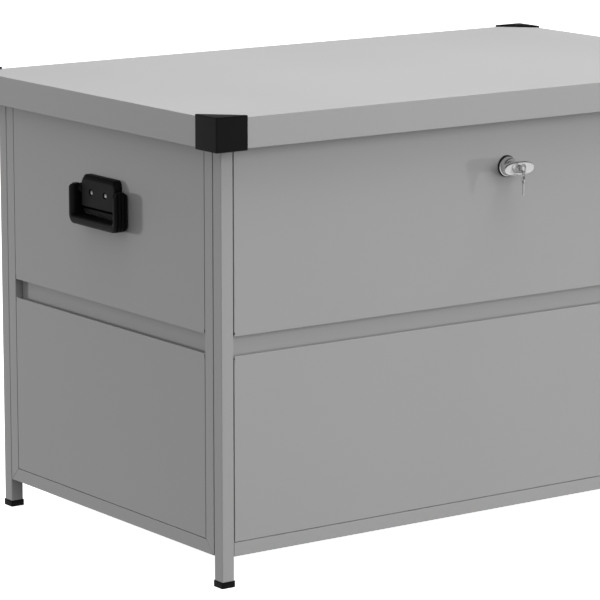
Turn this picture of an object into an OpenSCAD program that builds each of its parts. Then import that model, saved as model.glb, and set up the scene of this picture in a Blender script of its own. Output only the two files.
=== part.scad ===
// Deck storage box: a framed sheet-metal chest on four short legs, with a hinged
// tray-shaped lid, a wing-handle lock at the front and a folding handle at each end.
// The row frame: +X to the right along the front, +Y to the rear, +Z up from the floor.

/* [Overall size] */

// Width over the corner posts
box_w = 1050; // [1000:5:1150]
// Depth over the corner posts
box_d = 620; // [600:5:680]
// Height from the floor to the top face of the lid
box_h = 700; // [690:5:740]
// Reach of the lid beyond the posts at the front and rear
lid_over = 30; // [28:1:34]
// Reach of the lid beyond the posts at each end
lid_over_ends = 27; // [26:1:30]

/* [Frame] */

// Side of the square corner posts
post = 21; // [20:1:23]
// Wall thickness of the posts and rails
tube_wall = 1.2; // [1:0.1:1.5]
// Outer corner radius of the posts
post_round = 1.5; // [1:0.25:2]
// Height of the underside of the bottom rails
leg = 46; // [40:1:60]
// Height of the bottom rails
rail_h = 21; // [18:1:24]
// Width of the upright stiles of the end frames
stile_w = 20; // [18:1:24]
// Depth of the end frames
stile_t = 18; // [16:1:20]
// Visible gap between neighbouring frame members and panels
seam = 1.5; // [1:0.25:2]
// Side of the plastic foot caps
foot = 23.5; // [23.5:0.5:26]
// Height of the plastic foot caps
foot_h = 10; // [8:1:14]

/* [Panels] */

// Sheet thickness of the panels, floor and lid
sheet = 1; // [0.8:0.1:1.2]
// Depth of the folded edges of the panels
flange = 12; // [10:1:14]
// Height of the lower edge of the recessed band
groove_z = 346; // [320:2:380]
// Height of the recessed band
groove_h = 29.5; // [24:0.5:36]
// Width of a floor beam
beam_w = 40; // [30:2:50]

/* [Lid] */

// Height of the lid's skirt
skirt = 45.5; // [44:0.5:48]
// Width of the hem folded inwards at the foot of the skirt
hem = 10; // [8:1:12]
// Length of each arm of a corner cap
cap_arm = 52; // [45:1:65]
// Wall thickness of a corner cap
cap_wall = 2; // [1.5:0.25:3]
// Height of a corner cap above the lid
cap_top = 3; // [2:0.25:4]
// Width of a lid stiffener
stiff_w = 50; // [40:2:60]

/* [Hinges] */

// Distance of the hinge axis behind the rear face
hinge_back = 10; // [9.5:0.5:12]
// Outer radius of the knuckles
knuckle_r = 5.5; // [5:0.25:6]
// Radius of the hinge pin
pin_r = 3; // [2.5:0.25:3.5]
// Length of a hinge along its axis
hinge_len = 70; // [60:2:90]
// Spacing of the hinges along the rear
hinge_gap = 360; // [320:10:420]

/* [Lock] */

// Height of the lock's centre
lock_z = 581; // [570:1:590]
// Outer radius of the lock gasket
gasket_r = 16.5; // [15:0.5:20]
// Length of the wing handle
wing_len = 57; // [50:1:64]
// Height of the wing handle
wing_tall = 20.6; // [18:0.2:24]
// Distance of the wing handle's face from the panel
wing_face = 33; // [31:1:36]
// Length of the locking cam from its axis
cam_len = 45; // [42:1:48]
// Mean radius of the key ring
ring_r = 6; // [5.75:0.25:6.5]

/* [End handles] */

// Outer width of the folding handle
bail_w = 130; // [120:2:140]
// Height of the underside of the hanging handle
bail_z = 496; // [480:1:500]
// Depth of the handle strap
bail_t = 24; // [20:1:26]
// Height of the handle pivot
bail_pivot_z = 550.5; // [548:0.5:556]

/* [Gas struts] */

// Distance of the struts' lower pivots ahead of the hinge axis
strut_low_fwd = 115; // [112:1:118]
// Distance of the struts' lower pivots below the hinge axis
strut_low_down = 165; // [162:1:168]
// Distance of the struts' upper pivots ahead of the hinge axis
strut_top_fwd = 115; // [112:1:118]
// Height of the struts' upper pivots above the hinge axis
strut_top_up = 18; // [16:0.5:20]

/* [Hidden] */

$fn = 48;
eps = 0.01;
fit = 0.06;

lid_w = box_w + 2 * lid_over_ends;
lid_d = box_d + 2 * lid_over;
lid_under = box_h - sheet;
skirt_z = box_h - skirt;
rim_z = box_h - 6;
panel_z = leg + rail_h + 1;
inner_w = box_w - 2 * post;
inner_d = box_d - 2 * post;
front_half = inner_w / 2 - seam;
end_half = inner_d / 2 - seam;
end_panel_half = end_half - stile_w - seam;
groove_top = groove_z + groove_h;
rim_rail_h = 20;
bow_w = 12;
boss_r = 6.8;
bow_reach = wing_face + 8.5;
key_reach = bow_reach + bow_w / 2;

// The origin is the centre of the bounding box on the floor: the key at the front
// and the corner caps at the rear set its depth.
frame_shift = (key_reach - lid_over - cap_wall) / 2;

hinge_y = box_d / 2 + hinge_back;
hinge_z = box_h - 42.5;

strut_x = box_w / 2 - 30;
strut_low_y = hinge_y - strut_low_fwd;
strut_low_z = hinge_z - strut_low_down;
strut_top_y = hinge_y - strut_top_fwd;
strut_top_z = hinge_z + strut_top_up;
strut_dy = strut_top_y - strut_low_y;
strut_dz = strut_top_z - strut_low_z;
strut_len = sqrt(strut_dy * strut_dy + strut_dz * strut_dz);
strut_tilt = atan2(strut_dy, strut_dz);
cylinder_len = strut_len - 24;

cam_y = 32;
tab_z = lock_z - 13.5;
tab_x = 30;
ring_top = lock_z - 2.85;

// ---- shared shapes -----------------------------------------------------------

module rounded_rect(w, h, r) {
    square([w - 2 * r, h], center = true);
    square([w, h - 2 * r], center = true);
    for (sx = [-1, 1], sy = [-1, 1])
        translate([sx * (w / 2 - r), sy * (h / 2 - r)])
            circle(r = r);
}

module box_tube(length, w, h, wall) {
    difference() {
        translate([0, -w / 2, -h / 2])
            cube([length, w, h]);
        translate([-eps, wall - w / 2, wall - h / 2])
            cube([length + 2 * eps, w - 2 * wall, h - 2 * wall]);
    }
}

// Places a part drawn for the wall's outer face: x along the wall, y inwards, z up.
module on_front() {
    translate([0, frame_shift - box_d / 2, 0])
        children();
}

module on_rear() {
    translate([0, frame_shift + box_d / 2, 0])
        rotate([0, 0, 180])
            children();
}

module on_left() {
    translate([-box_w / 2, frame_shift, 0])
        rotate([0, 0, -90])
            children();
}

module on_right() {
    translate([box_w / 2, frame_shift, 0])
        rotate([0, 0, 90])
            children();
}

// Places a part drawn in the body's own middle.
module centred() {
    translate([0, frame_shift, 0])
        children();
}

// Turns a part so that its own z points out of the wall and its y points up.
module facing_out() {
    rotate([90, 0, 0])
        children();
}

// ---- frame -------------------------------------------------------------------

module corner_post(sx, sy) {
    color("silver")
        centred()
            translate([sx * (box_w - post) / 2, sy * (box_d - post) / 2, 2.5])
                linear_extrude(rim_z - 2.5)
                    difference() {
                        rounded_rect(post, post, post_round);
                        square(post - 2 * tube_wall, center = true);
                    }
}

module foot_caps() {
    color("black")
        centred()
            for (sx = [-1, 1], sy = [-1, 1])
                translate([sx * (box_w - post) / 2, sy * (box_d - post) / 2, 0])
                    difference() {
                        linear_extrude(foot_h)
                            rounded_rect(foot, foot, 2.5);
                        translate([0, 0, 2.5])
                            linear_extrude(foot_h)
                                square(post + 0.1, center = true);
                    }
}

// A bottom rail between two posts, drawn for the front wall.
module long_rail() {
    translate([-inner_w / 2 + 0.2, post / 2, leg + rail_h / 2])
        box_tube(inner_w - 0.4, post, rail_h, tube_wall);
}

// The rail behind the top edge of the front or rear panel.
module rim_rail() {
    depth = 14;
    translate([0.5 - inner_w / 2, sheet + 0.25 + depth / 2, rim_z - rim_rail_h / 2])
        box_tube(inner_w - 1, depth, rim_rail_h, tube_wall);
}

// One mitred member of an end frame: outer and inner edges as [x, z] points.
module frame_member(points) {
    translate([0, stile_t, 0])
        rotate([90, 0, 0])
            linear_extrude(stile_t)
                polygon(points);
}

module end_stiles() {
    gap = 0.25;
    for (s = [-1, 1])
        difference() {
            frame_member([
                [s * end_half, leg + gap],
                [s * end_half, rim_z - gap],
                [s * (end_half - stile_w), rim_z - stile_w - gap],
                [s * (end_half - stile_w), leg + rail_h + gap]
            ]);
            translate([s * (end_half - stile_w / 2) - stile_w / 2 + tube_wall, tube_wall, 0])
                cube([stile_w - 2 * tube_wall, stile_t - 2 * tube_wall, box_h]);
        }
}

module end_rail(z_out, z_in) {
    gap = 0.25;
    z_low = min(z_out, z_in);
    difference() {
        frame_member([
            [gap - end_half, z_out],
            [end_half - gap, z_out],
            [end_half - stile_w - gap, z_in],
            [stile_w + gap - end_half, z_in]
        ]);
        translate([-end_half - 1, tube_wall, z_low + tube_wall])
            cube([2 * end_half + 2, stile_t - 2 * tube_wall, abs(z_out - z_in) - 2 * tube_wall]);
    }
}

// ---- panels ------------------------------------------------------------------

// A sheet tray: face outwards at y = 0, edges folded inwards. Each side edge has a
// small relief notch near the recessed band.
module panel_tray(half_w, z_low, z_high, relief_z) {
    difference() {
        translate([-half_w, 0, z_low])
            cube([2 * half_w, flange, z_high - z_low]);
        translate([sheet - half_w, sheet, z_low + sheet])
            cube([2 * (half_w - sheet), flange, z_high - z_low - 2 * sheet]);
        for (s = [-1, 1])
            translate([s * half_w - 1, -1, relief_z - 2])
                cube([2, flange + 2, 4]);
    }
}

module upper_tray(half_w, z_high) {
    panel_tray(half_w, groove_top, z_high, groove_top + 4);
}

// The lower tray has no fold along its top, which leaves a slot in front of the band.
module lower_tray(half_w) {
    difference() {
        panel_tray(half_w, panel_z, groove_z, groove_z - 4);
        translate([sheet - half_w, sheet, groove_z - sheet - 1])
            cube([2 * (half_w - sheet), flange, sheet + 2]);
    }
}

// The recessed band between the two panels.
module band(half_w) {
    translate([-half_w, flange + 0.2, groove_z - 12])
        cube([2 * half_w, sheet, groove_h + 24]);
}

// The upper tray of a long wall: only its face runs up in front of the rim rail.
module rim_tray() {
    difference() {
        upper_tray(front_half, rim_z - 1);
        translate([-front_half - 1, sheet, rim_z - rim_rail_h - 0.5])
            cube([2 * front_half + 2, flange, rim_rail_h]);
    }
}

module front_panel_holes() {
    difference() {
        rim_tray();
        translate([0, -1, lock_z])
            rotate([-90, 0, 0])
                cylinder(r = 10.2, h = flange);
    }
}

module end_panel_holes() {
    difference() {
        upper_tray(end_panel_half, rim_z - stile_w - seam);
        for (s = [-1, 1])
            translate([s * 19.5, -1, bail_pivot_z - 3.5])
                rotate([-90, 0, 0])
                    cylinder(r = 2.6, h = 4);
    }
}

module floor_panel() {
    color("silver")
        centred()
            difference() {
                translate([-box_w / 2 + 12.8, -box_d / 2 + 12.8, leg + rail_h])
                    cube([box_w - 25.6, box_d - 25.6, sheet]);
                for (sx = [-1, 1], sy = [-1, 1])
                    translate([sx * box_w / 2, sy * box_d / 2, leg + rail_h])
                        cube([2 * post + 2, 2 * (box_d / 2 - end_panel_half), 4], center = true);
            }
}

module floor_beams() {
    color("silver")
        centred()
            for (s = [-1, 1])
                translate([s * box_w / 4, 0, leg + rail_h - 9.05])
                    rotate([0, 0, 90])
                        translate([0.3 - inner_d / 2, 0, 0])
                            box_tube(inner_d - 0.6, beam_w, 18, tube_wall);
}

module rim_seal() {
    color("dimgray")
        centred()
            for (s = [-1, 1]) {
                translate([-box_w / 2 + 9, s * (box_d / 2 - 10) - 4, rim_z])
                    cube([box_w - 18, 8, 4.4]);
                translate([s * (box_w / 2 - 13) - 4, -box_d / 2 + 14.3, rim_z])
                    cube([8, box_d - 28.6, 4.4]);
            }
}

// ---- hinges ------------------------------------------------------------------

module each_hinge() {
    centred()
        for (i = [-1:1])
            translate([i * hinge_gap, hinge_y, hinge_z])
                children();
}

module knuckle(x_low, x_high) {
    translate([x_low, 0, 0])
        rotate([0, 90, 0])
            cylinder(r = knuckle_r, h = x_high - x_low);
}

module hinge_leaves_body() {
    half = hinge_len / 2;
    inner = hinge_len / 5.4;
    color("gray")
        each_hinge()
            difference() {
                union() {
                    translate([-half, -hinge_back, -48])
                        cube([hinge_len, 2.5, 42.5]);
                    for (s = [-1, 1]) {
                        translate([s * (half + inner) / 2 - (half - inner) / 2, -hinge_back, -9.5])
                            cube([half - inner, hinge_back, 9.5]);
                        knuckle(s > 0 ? inner : -half, s > 0 ? half : -inner);
                    }
                }
                translate([-half - 1, 0, 0])
                    rotate([0, 90, 0])
                        cylinder(r = pin_r + 0.02, h = hinge_len + 2);
                for (s = [-1, 1], z = [-38, -20])
                    translate([s * hinge_len / 3, -hinge_back - 1, z])
                        rotate([-90, 0, 0])
                            cylinder(r = 2.6, h = 5);
            }
}

module hinge_pins() {
    color("silver")
        each_hinge()
            translate([-hinge_len / 2 - 1, 0, 0])
                rotate([0, 90, 0])
                    cylinder(r = pin_r, h = hinge_len + 2);
}

module hinge_screws() {
    color("silver")
        each_hinge()
            for (s = [-1, 1], z = [-38, -20])
                translate([s * hinge_len / 3, -hinge_back, z])
                    rotate([-90, 0, 0]) {
                        cylinder(r = 2.5, h = 2.5);
                        translate([0, 0, 2.5])
                            cylinder(r1 = 4.2, r2 = 3, h = 1.8);
                    }
}

module hinge_leaves_lid() {
    inner = hinge_len / 5.4 - 0.4;
    reach = lid_over - hinge_back - sheet;
    color("gray")
        each_hinge()
            difference() {
                union() {
                    knuckle(-inner, inner);
                    translate([-inner, 0, 0])
                        cube([2 * inner, reach, 2.5]);
                    translate([-hinge_len / 2, reach - 2.5, 0])
                        cube([hinge_len, 2.5, 32]);
                }
                translate([-inner - 1, 0, 0])
                    rotate([0, 90, 0])
                        cylinder(r = pin_r + fit, h = 2 * inner + 2);
            }
}

// ---- lid ---------------------------------------------------------------------

module lid_shell() {
    color("lightgray")
        centred()
            difference() {
                translate([-lid_w / 2, -lid_d / 2, skirt_z])
                    cube([lid_w, lid_d, skirt]);
                translate([sheet - lid_w / 2, sheet - lid_d / 2, skirt_z + sheet])
                    cube([lid_w - 2 * sheet, lid_d - 2 * sheet, skirt - 2 * sheet]);
                translate([sheet + hem - lid_w / 2, sheet + hem - lid_d / 2, skirt_z - 1])
                    cube([lid_w - 2 * (sheet + hem), lid_d - hem - 2 * sheet, 3]);
            }
}

// Hat-section stiffeners across the underside of the lid.
module lid_stiffeners() {
    rise = 18;
    color("lightgray")
        centred()
            for (s = [-1, 1])
                translate([s * lid_w / 4, -box_d / 2 + 45, lid_under]) {
                    difference() {
                        translate([-stiff_w / 2, 0, -rise])
                            cube([stiff_w, box_d - 105, rise]);
                        translate([sheet - stiff_w / 2, -1, sheet - rise])
                            cube([stiff_w - 2 * sheet, box_d, rise]);
                    }
                    for (t = [-1, 1])
                        translate([t * (stiff_w / 2 + 7 - sheet / 2) - 7, 0, -sheet])
                            cube([14, box_d - 105, sheet]);
                }
}

// A corner cap whose outer corner lies at the lid's corner, arms along -x and -y.
module corner_cap() {
    drop = skirt + 2.5;
    difference() {
        translate([-cap_arm, -cap_arm, -drop])
            cube([cap_arm + cap_wall, cap_arm + cap_wall, drop + cap_top]);
        translate([-cap_arm - 1, -cap_arm - 1, -skirt])
            cube([cap_arm + 1, cap_arm + 1, skirt]);
        translate([-cap_arm - 1, -cap_arm - 1, -drop - 1])
            cube([cap_arm - 3, cap_arm - 3, drop]);
        translate([0, 0, -1])
            linear_extrude(cap_top + 2)
                polygon([
                    [-cap_arm - 1, -cap_arm - 1],
                    [-cap_arm - 1, cap_wall - 1],
                    [cap_wall - 1, -cap_arm - 1]
                ]);
    }
}

module lid_corner_caps() {
    color("black")
        centred()
            for (mx = [0, 1], my = [0, 1])
                mirror([mx, 0, 0])
                    mirror([0, my, 0])
                        translate([lid_w / 2, lid_d / 2, box_h])
                            corner_cap();
}

module lock_striker() {
    color("gray")
        on_front() {
            translate([tab_x, cam_y - 5, tab_z])
                cube([20, 16, 2.5]);
            translate([tab_x, cam_y + 8.5, tab_z])
                cube([20, 2.5, lid_under - tab_z]);
            translate([tab_x, cam_y + 8.5, lid_under - 2.5])
                cube([20, 32, 2.5]);
        }
}

// ---- lock --------------------------------------------------------------------

module at_lock() {
    on_front()
        translate([0, 0, lock_z])
            facing_out()
                children();
}

module lock_gasket() {
    color("black")
        at_lock()
            difference() {
                cylinder(r = gasket_r, h = 2.5);
                translate([0, 0, -1])
                    cylinder(r = 10.1, h = 5);
            }
}

module lock_housing() {
    color("silver")
        at_lock()
            difference() {
                union() {
                    translate([0, 0, 2.5])
                        cylinder(r1 = gasket_r - 1, r2 = gasket_r - 3, h = 9.7);
                    translate([0, 0, -22])
                        cylinder(r = 10, h = 25);
                }
                translate([0, 0, -23])
                    cylinder(r = 6 + fit, h = 40);
            }
}

module lock_nut() {
    color("gray")
        at_lock()
            translate([0, 0, -sheet - 6])
                difference() {
                    linear_extrude(6)
                        circle(r = 15, $fn = 6);
                    translate([0, 0, -1])
                        cylinder(r = 10.04, h = 8);
                }
}

function oval(a, b, n) = [for (i = [0:n - 1]) [a * cos(360 * i / n), b * sin(360 * i / n)]];

module wing_handle() {
    color("silver")
        at_lock()
            difference() {
                union() {
                    translate([0, 0, 12.5])
                        cylinder(r = 9.8, h = 12);
                    translate([0, 0, wing_face - 10])
                        linear_extrude(10)
                            polygon(oval(wing_len / 2, wing_tall / 2, 60));
                    translate([0, 0, -cam_y + 0.5])
                        cylinder(r = 6, h = cam_y + 13);
                    translate([-4, -4, -cam_y - 5])
                        cube([8, 8, 8]);
                }
                translate([0, 0, 15])
                    cylinder(r = 5.5 + fit, h = wing_face);
            }
}

module lock_cam() {
    color("gray")
        at_lock()
            translate([0, 0, -cam_y - 3])
                difference() {
                    union() {
                        cylinder(r = 10, h = 3);
                        translate([-8, 0, 0])
                            cube([16, cam_len - 4, 3]);
                        translate([-4, cam_len - 6, 0])
                            cube([8, 6, 3]);
                        for (s = [-1, 1])
                            translate([s * 4, cam_len - 4, 0])
                                cylinder(r = 4, h = 3);
                    }
                    translate([-4.05, -4.05, -1])
                        cube([8.1, 8.1, 5]);
                }
}

module key_plug() {
    color("goldenrod")
        at_lock()
            difference() {
                translate([0, 0, 15.2])
                    cylinder(r = 5.5, h = wing_face - 15);
                translate([-1.2, -4.2, 18])
                    cube([2.4, 8.4, wing_face]);
            }
}

// The bow of a key: a flat oval with a slotted hole, its middle at the origin.
module key_bow(w, h, t, hole_w, hole_h) {
    linear_extrude(t, center = true)
        difference() {
            rounded_rect(w, h, w / 2 - 0.8);
            rounded_rect(hole_w, hole_h, hole_w / 2 - 0.05);
        }
}

module key() {
    color("silver")
        at_lock()
            rotate([0, 90, 0])
                translate([-bow_reach, 0, 0]) {
                    key_bow(bow_w, 16, 1.6, 5.5, 8);
                    translate([4.5, -3.8, -0.8])
                        cube([18.3, 7.6, 1.6]);
                }
}

module key_ring() {
    color("silver")
        on_front()
            translate([0, -bow_reach, ring_top - ring_r])
                rotate([0, 0, 29])
                    rotate([90, 0, 0])
                        rotate_extrude()
                            translate([ring_r, 0])
                                circle(r = 0.55, $fn = 24);
}

module spare_key() {
    color("silver")
        on_front()
            translate([0, -bow_reach, ring_top - 2 * ring_r - 1.6])
                rotate([0, 0, 72])
                    rotate([90, 0, 0]) {
                        key_bow(10, 11, 1.6, 4.5, 5.6);
                        translate([-2.4, -24, -0.8])
                            cube([4.8, 20.5, 1.6]);
                    }
}

// ---- end handles -------------------------------------------------------------

module handle_plate() {
    facing_out()
        difference() {
            union() {
                translate([-47, 0, 0])
                    rotate([0, 90, 0])
                        linear_extrude(94)
                            polygon([
                                [0, bail_z + 17],
                                [-3, bail_z + 17],
                                [-3, bail_z + 28],
                                [-13.6, bail_z + 28],
                                [-13.6, bail_pivot_z + 15.5],
                                [-9, bail_pivot_z + 22],
                                [0, bail_pivot_z + 22]
                            ]);
                translate([-55, bail_z + 17, 0])
                    cube([110, 29, 3]);
                translate([-59.5, bail_pivot_z, 8])
                    rotate([0, 90, 0])
                        cylinder(r = 4, h = 119);
            }
            for (s = [-1, 1])
                translate([s * 19.5, bail_pivot_z - 3.5, -1]) {
                    cylinder(r = 2.6, h = 20);
                    translate([0, 0, 10.5])
                        cylinder(r = 5, h = 10);
                }
        }
}

module handle_screws() {
    color("silver") {
        on_left()
            plate_screws();
        on_right()
            plate_screws();
    }
}

module plate_screws() {
    facing_out()
        for (s = [-1, 1])
            translate([s * 19.5, bail_pivot_z - 3.5, -5]) {
                cylinder(r = 2.5, h = 14.5);
                translate([0, 0, 14.5])
                    difference() {
                        cylinder(r = 4.5, h = 3);
                        translate([-0.5, -4, 2])
                            cube([1, 8, 2]);
                        translate([-4, -0.5, 2])
                            cube([8, 1, 2]);
                    }
            }
}

// Outline of the U-shaped strap, open at the top; inset shrinks its outer edge.
module bail_outline(inset) {
    r = 11;
    half = bail_w / 2 - inset;
    low = bail_z + inset;
    difference() {
        union() {
            translate([-half, low + r])
                square([2 * half, 80]);
            translate([r - half, low])
                square([2 * (half - r), 40]);
            for (s = [-1, 1])
                translate([s * (half - r), low + r])
                    circle(r = r);
        }
        translate([-bail_w / 2 + 9, bail_z + 19.5])
            square([bail_w - 18, 80]);
        translate([-bail_w / 2 + 14, bail_z + 14.5])
            square([bail_w - 28, 40]);
        for (s = [-1, 1])
            translate([s * (bail_w / 2 - 14), bail_z + 19.5])
                circle(r = 5);
    }
}

// Side profile of the strap: x is the distance from the wall, y is the height.
module bail_profile() {
    low = bail_z;
    back = 1.2;
    top_r = bail_t / 2 - 1.5;
    top_z = bail_pivot_z + boss_r - top_r;
    for (x = [back + top_r, back + bail_t - top_r])
        translate([x, top_z])
            circle(r = top_r);
    translate([back + top_r, top_z - top_r])
        square([bail_t - 2 * top_r, 2 * top_r]);
    translate([back, low + 4])
        square([bail_t, top_z - low - 4]);
    translate([back + 4, low])
        square([bail_t - 8, 20]);
    for (x = [back + 4, back + bail_t - 4])
        translate([x, low + 4])
            circle(r = 4);
}

module bail() {
    boss_in = 47.6;
    facing_out()
        difference() {
            union() {
                intersection() {
                    linear_extrude(40)
                        bail_outline(0);
                    translate([-bail_w / 2 - 1, 0, 0])
                        rotate([0, 90, 0])
                            linear_extrude(bail_w + 2)
                                mirror([1, 0])
                                    bail_profile();
                }
                for (s = [-1, 1])
                    translate([s > 0 ? boss_in : -57, bail_pivot_z, 8])
                        rotate([0, 90, 0])
                            cylinder(r = boss_r, h = 57 - boss_in);
            }
            translate([-60, bail_pivot_z, 8])
                rotate([0, 90, 0])
                    cylinder(r = 4 + fit, h = 120);
            for (z = [6, 12, 18])
                translate([0, 0, z])
                    linear_extrude(2.4)
                        difference() {
                            translate([-bail_w, bail_z - 10])
                                square([2 * bail_w, 50]);
                            bail_outline(1.1);
                            translate([-bail_w / 2 + 4, bail_z + 6])
                                square([bail_w - 8, 80]);
                        }
        }
}

// ---- gas struts --------------------------------------------------------------

module strut_brackets_body() {
    color("dimgray")
        centred()
            for (m = [0, 1])
                mirror([m, 0, 0])
                    translate([-box_w / 2 + sheet, strut_low_y, strut_low_z]) {
                        translate([0, -15, -20])
                            cube([2.5, 30, 40]);
                        rotate([0, 90, 0])
                            cylinder(r = 4, h = 37.5 - sheet);
                    }
}

module strut_brackets_lid() {
    color("dimgray")
        centred()
            for (m = [0, 1])
                mirror([m, 0, 0])
                    translate([-strut_x, strut_top_y, strut_top_z]) {
                        translate([5.5, 0, 0])
                            rotate([0, 90, 0])
                                cylinder(r = 4, h = 7);
                        translate([12, -15, -9])
                            cube([2.5, 30, lid_under - strut_top_z + 9]);
                        translate([12, -15, lid_under - strut_top_z - 2.5])
                            cube([22, 30, 2.5]);
                    }
}

// A strut stands along its own z from the lower pivot and leans towards the rear.
module along_strut(side) {
    centred()
        translate([side * strut_x, strut_low_y, strut_low_z])
            rotate([-strut_tilt, 0, 0])
                children();
}

module strut_cylinder(side) {
    color("black")
        along_strut(side)
            difference() {
                union() {
                    translate([0, 0, 12])
                        cylinder(r = 9, h = cylinder_len - 12);
                    translate([-5, -6, 0])
                        cube([10, 12, 13]);
                    translate([-5, 0, 0])
                        rotate([0, 90, 0])
                            cylinder(r = 8, h = 10);
                }
                translate([-6, 0, 0])
                    rotate([0, 90, 0])
                        cylinder(r = 4 + fit, h = 12);
                translate([0, 0, 18])
                    cylinder(r = 7.9, h = cylinder_len - 24);
                translate([0, 0, 18])
                    cylinder(r = 4 + fit, h = cylinder_len);
            }
}

module strut_rod(side) {
    color("silver")
        along_strut(side) {
            translate([0, 0, 20])
                cylinder(r = 4, h = strut_len - 24);
            translate([0, 0, 20])
                cylinder(r = 7.8, h = 6);
            translate([-5, -6, strut_len - 14])
                cube([10, 12, 14]);
            translate([-5, 0, strut_len])
                rotate([0, 90, 0])
                    cylinder(r = 7, h = 10);
        }
}

// ---- nodes -------------------------------------------------------------------

corner_post(-1, -1);  // post_front_left
corner_post(1, -1);  // post_front_right
corner_post(-1, 1);  // post_rear_left
corner_post(1, 1);  // post_rear_right
foot_caps();
color("silver") on_front() long_rail();  // rail_bottom_front
color("silver") on_rear() long_rail();  // rail_bottom_rear
color("gray") on_front() rim_rail();  // rim_rail_front
color("gray") on_rear() rim_rail();  // rim_rail_rear
color("silver") on_left() end_stiles();  // stiles_left
color("silver") on_right() end_stiles();  // stiles_right
color("silver") on_left() end_rail(leg, leg + rail_h);  // rail_bottom_left
color("silver") on_right() end_rail(leg, leg + rail_h);  // rail_bottom_right
color("silver") on_left() end_rail(rim_z, rim_z - stile_w);  // rail_top_left
color("silver") on_right() end_rail(rim_z, rim_z - stile_w);  // rail_top_right
color("gainsboro") on_front() front_panel_holes();  // panel_front_upper
color("gainsboro") on_front() lower_tray(front_half);  // panel_front_lower
color("gainsboro") on_rear() rim_tray();  // panel_rear_upper
color("gainsboro") on_rear() lower_tray(front_half);  // panel_rear_lower
color("gainsboro") on_left() end_panel_holes();  // panel_left_upper
color("gainsboro") on_left() lower_tray(end_panel_half);  // panel_left_lower
color("gainsboro") on_right() end_panel_holes();  // panel_right_upper
color("gainsboro") on_right() lower_tray(end_panel_half);  // panel_right_lower
color("gray") on_front() band(front_half);  // band_front
color("gray") on_rear() band(front_half);  // band_rear
color("gray") on_left() band(end_panel_half);  // band_left
color("gray") on_right() band(end_panel_half);  // band_right
floor_panel();
floor_beams();
rim_seal();
hinge_leaves_body();
hinge_pins();
hinge_screws();
hinge_leaves_lid();
lid_shell();
lid_stiffeners();
lid_corner_caps();
lock_striker();
lock_gasket();
lock_housing();
lock_nut();
wing_handle();
lock_cam();
key_plug();
key();
key_ring();
spare_key();
color("black") on_left() handle_plate();  // handle_plate_left
color("black") on_right() handle_plate();  // handle_plate_right
handle_screws();
color("dimgray") on_left() bail();  // bail_left
color("dimgray") on_right() bail();  // bail_right
strut_brackets_body();
strut_brackets_lid();
strut_cylinder(-1);  // strut_cylinder_left
strut_cylinder(1);  // strut_cylinder_right
strut_rod(-1);  // strut_rod_left
strut_rod(1);  // strut_rod_right
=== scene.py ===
"""Looks of the deck storage box: materials, detailed pieces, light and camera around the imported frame."""
from math import cos, pi, radians, sin, sqrt

import bmesh
import bpy
from mathutils import Matrix, Vector


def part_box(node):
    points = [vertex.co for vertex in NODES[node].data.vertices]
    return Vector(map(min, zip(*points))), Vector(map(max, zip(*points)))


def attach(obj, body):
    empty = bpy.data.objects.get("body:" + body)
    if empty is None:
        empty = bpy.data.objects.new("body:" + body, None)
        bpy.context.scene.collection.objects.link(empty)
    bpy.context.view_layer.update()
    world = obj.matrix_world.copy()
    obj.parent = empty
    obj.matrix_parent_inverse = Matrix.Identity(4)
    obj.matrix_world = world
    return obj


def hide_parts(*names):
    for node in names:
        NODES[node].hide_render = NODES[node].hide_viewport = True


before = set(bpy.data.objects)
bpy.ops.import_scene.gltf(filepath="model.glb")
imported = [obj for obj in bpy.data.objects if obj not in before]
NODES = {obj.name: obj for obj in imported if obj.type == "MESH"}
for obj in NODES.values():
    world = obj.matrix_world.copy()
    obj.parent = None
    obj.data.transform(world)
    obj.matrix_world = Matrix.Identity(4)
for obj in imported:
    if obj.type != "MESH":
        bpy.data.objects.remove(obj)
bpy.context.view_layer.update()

MM = 0.001


# ---- places, worked out from the frame ----------------------------------------


def wall(origin, right, out):
    """Millimetre axes of one wall: x to the right as seen from outside, y up, z out of the wall."""
    up = Vector((0, 0, 1))
    axes = Matrix((Vector(right), up, Vector(out))).transposed().to_4x4()
    return Matrix.Translation(origin) @ axes @ Matrix.Scale(MM, 4)


POST_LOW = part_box("post_front_left")[0]
POST_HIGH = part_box("post_rear_right")[1]
MIDDLE_Y = (POST_LOW.y + POST_HIGH.y) / 2
FRONT = wall((0, POST_LOW.y, 0), (1, 0, 0), (0, -1, 0))
LEFT = wall((POST_LOW.x, MIDDLE_Y, 0), (0, -1, 0), (-1, 0, 0))
RIGHT = wall((POST_HIGH.x, MIDDLE_Y, 0), (0, 1, 0), (1, 0, 0))
ROW = Matrix.Scale(MM, 4)


def mm(metres):
    return metres / MM


# ---- outlines, in millimetres ---------------------------------------------------


def arc(cx, cy, r, start, end, steps):
    """Points on a circle from one angle to another, in degrees."""
    angles = [radians(start + (end - start) * i / steps) for i in range(steps + 1)]
    return [(cx + r * cos(a), cy + r * sin(a)) for a in angles]


def rounded_rect(w, h, r, steps=6, cx=0.0, cy=0.0):
    """A rectangle with round corners, anticlockwise from its lower right."""
    x, y = w / 2 - r, h / 2 - r
    return (
        arc(cx + x, cy - y, r, -90, 0, steps)
        + arc(cx + x, cy + y, r, 0, 90, steps)
        + arc(cx - x, cy + y, r, 90, 180, steps)
        + arc(cx - x, cy - y, r, 180, 270, steps)
    )


def superellipse(a, b, power, steps):
    """An oval that is blunter at its ends than an ellipse when power is over 2."""
    points = []
    for i in range(steps):
        t = 2 * pi * i / steps
        c, s = cos(t), sin(t)
        points.append((
            a * abs(c) ** (2 / power) * (1 if c >= 0 else -1),
            b * abs(s) ** (2 / power) * (1 if s >= 0 else -1),
        ))
    return points


def ring(outline, z):
    return [Vector((x, y, z)) for x, y in outline]


# ---- mesh building ----------------------------------------------------------------


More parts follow.
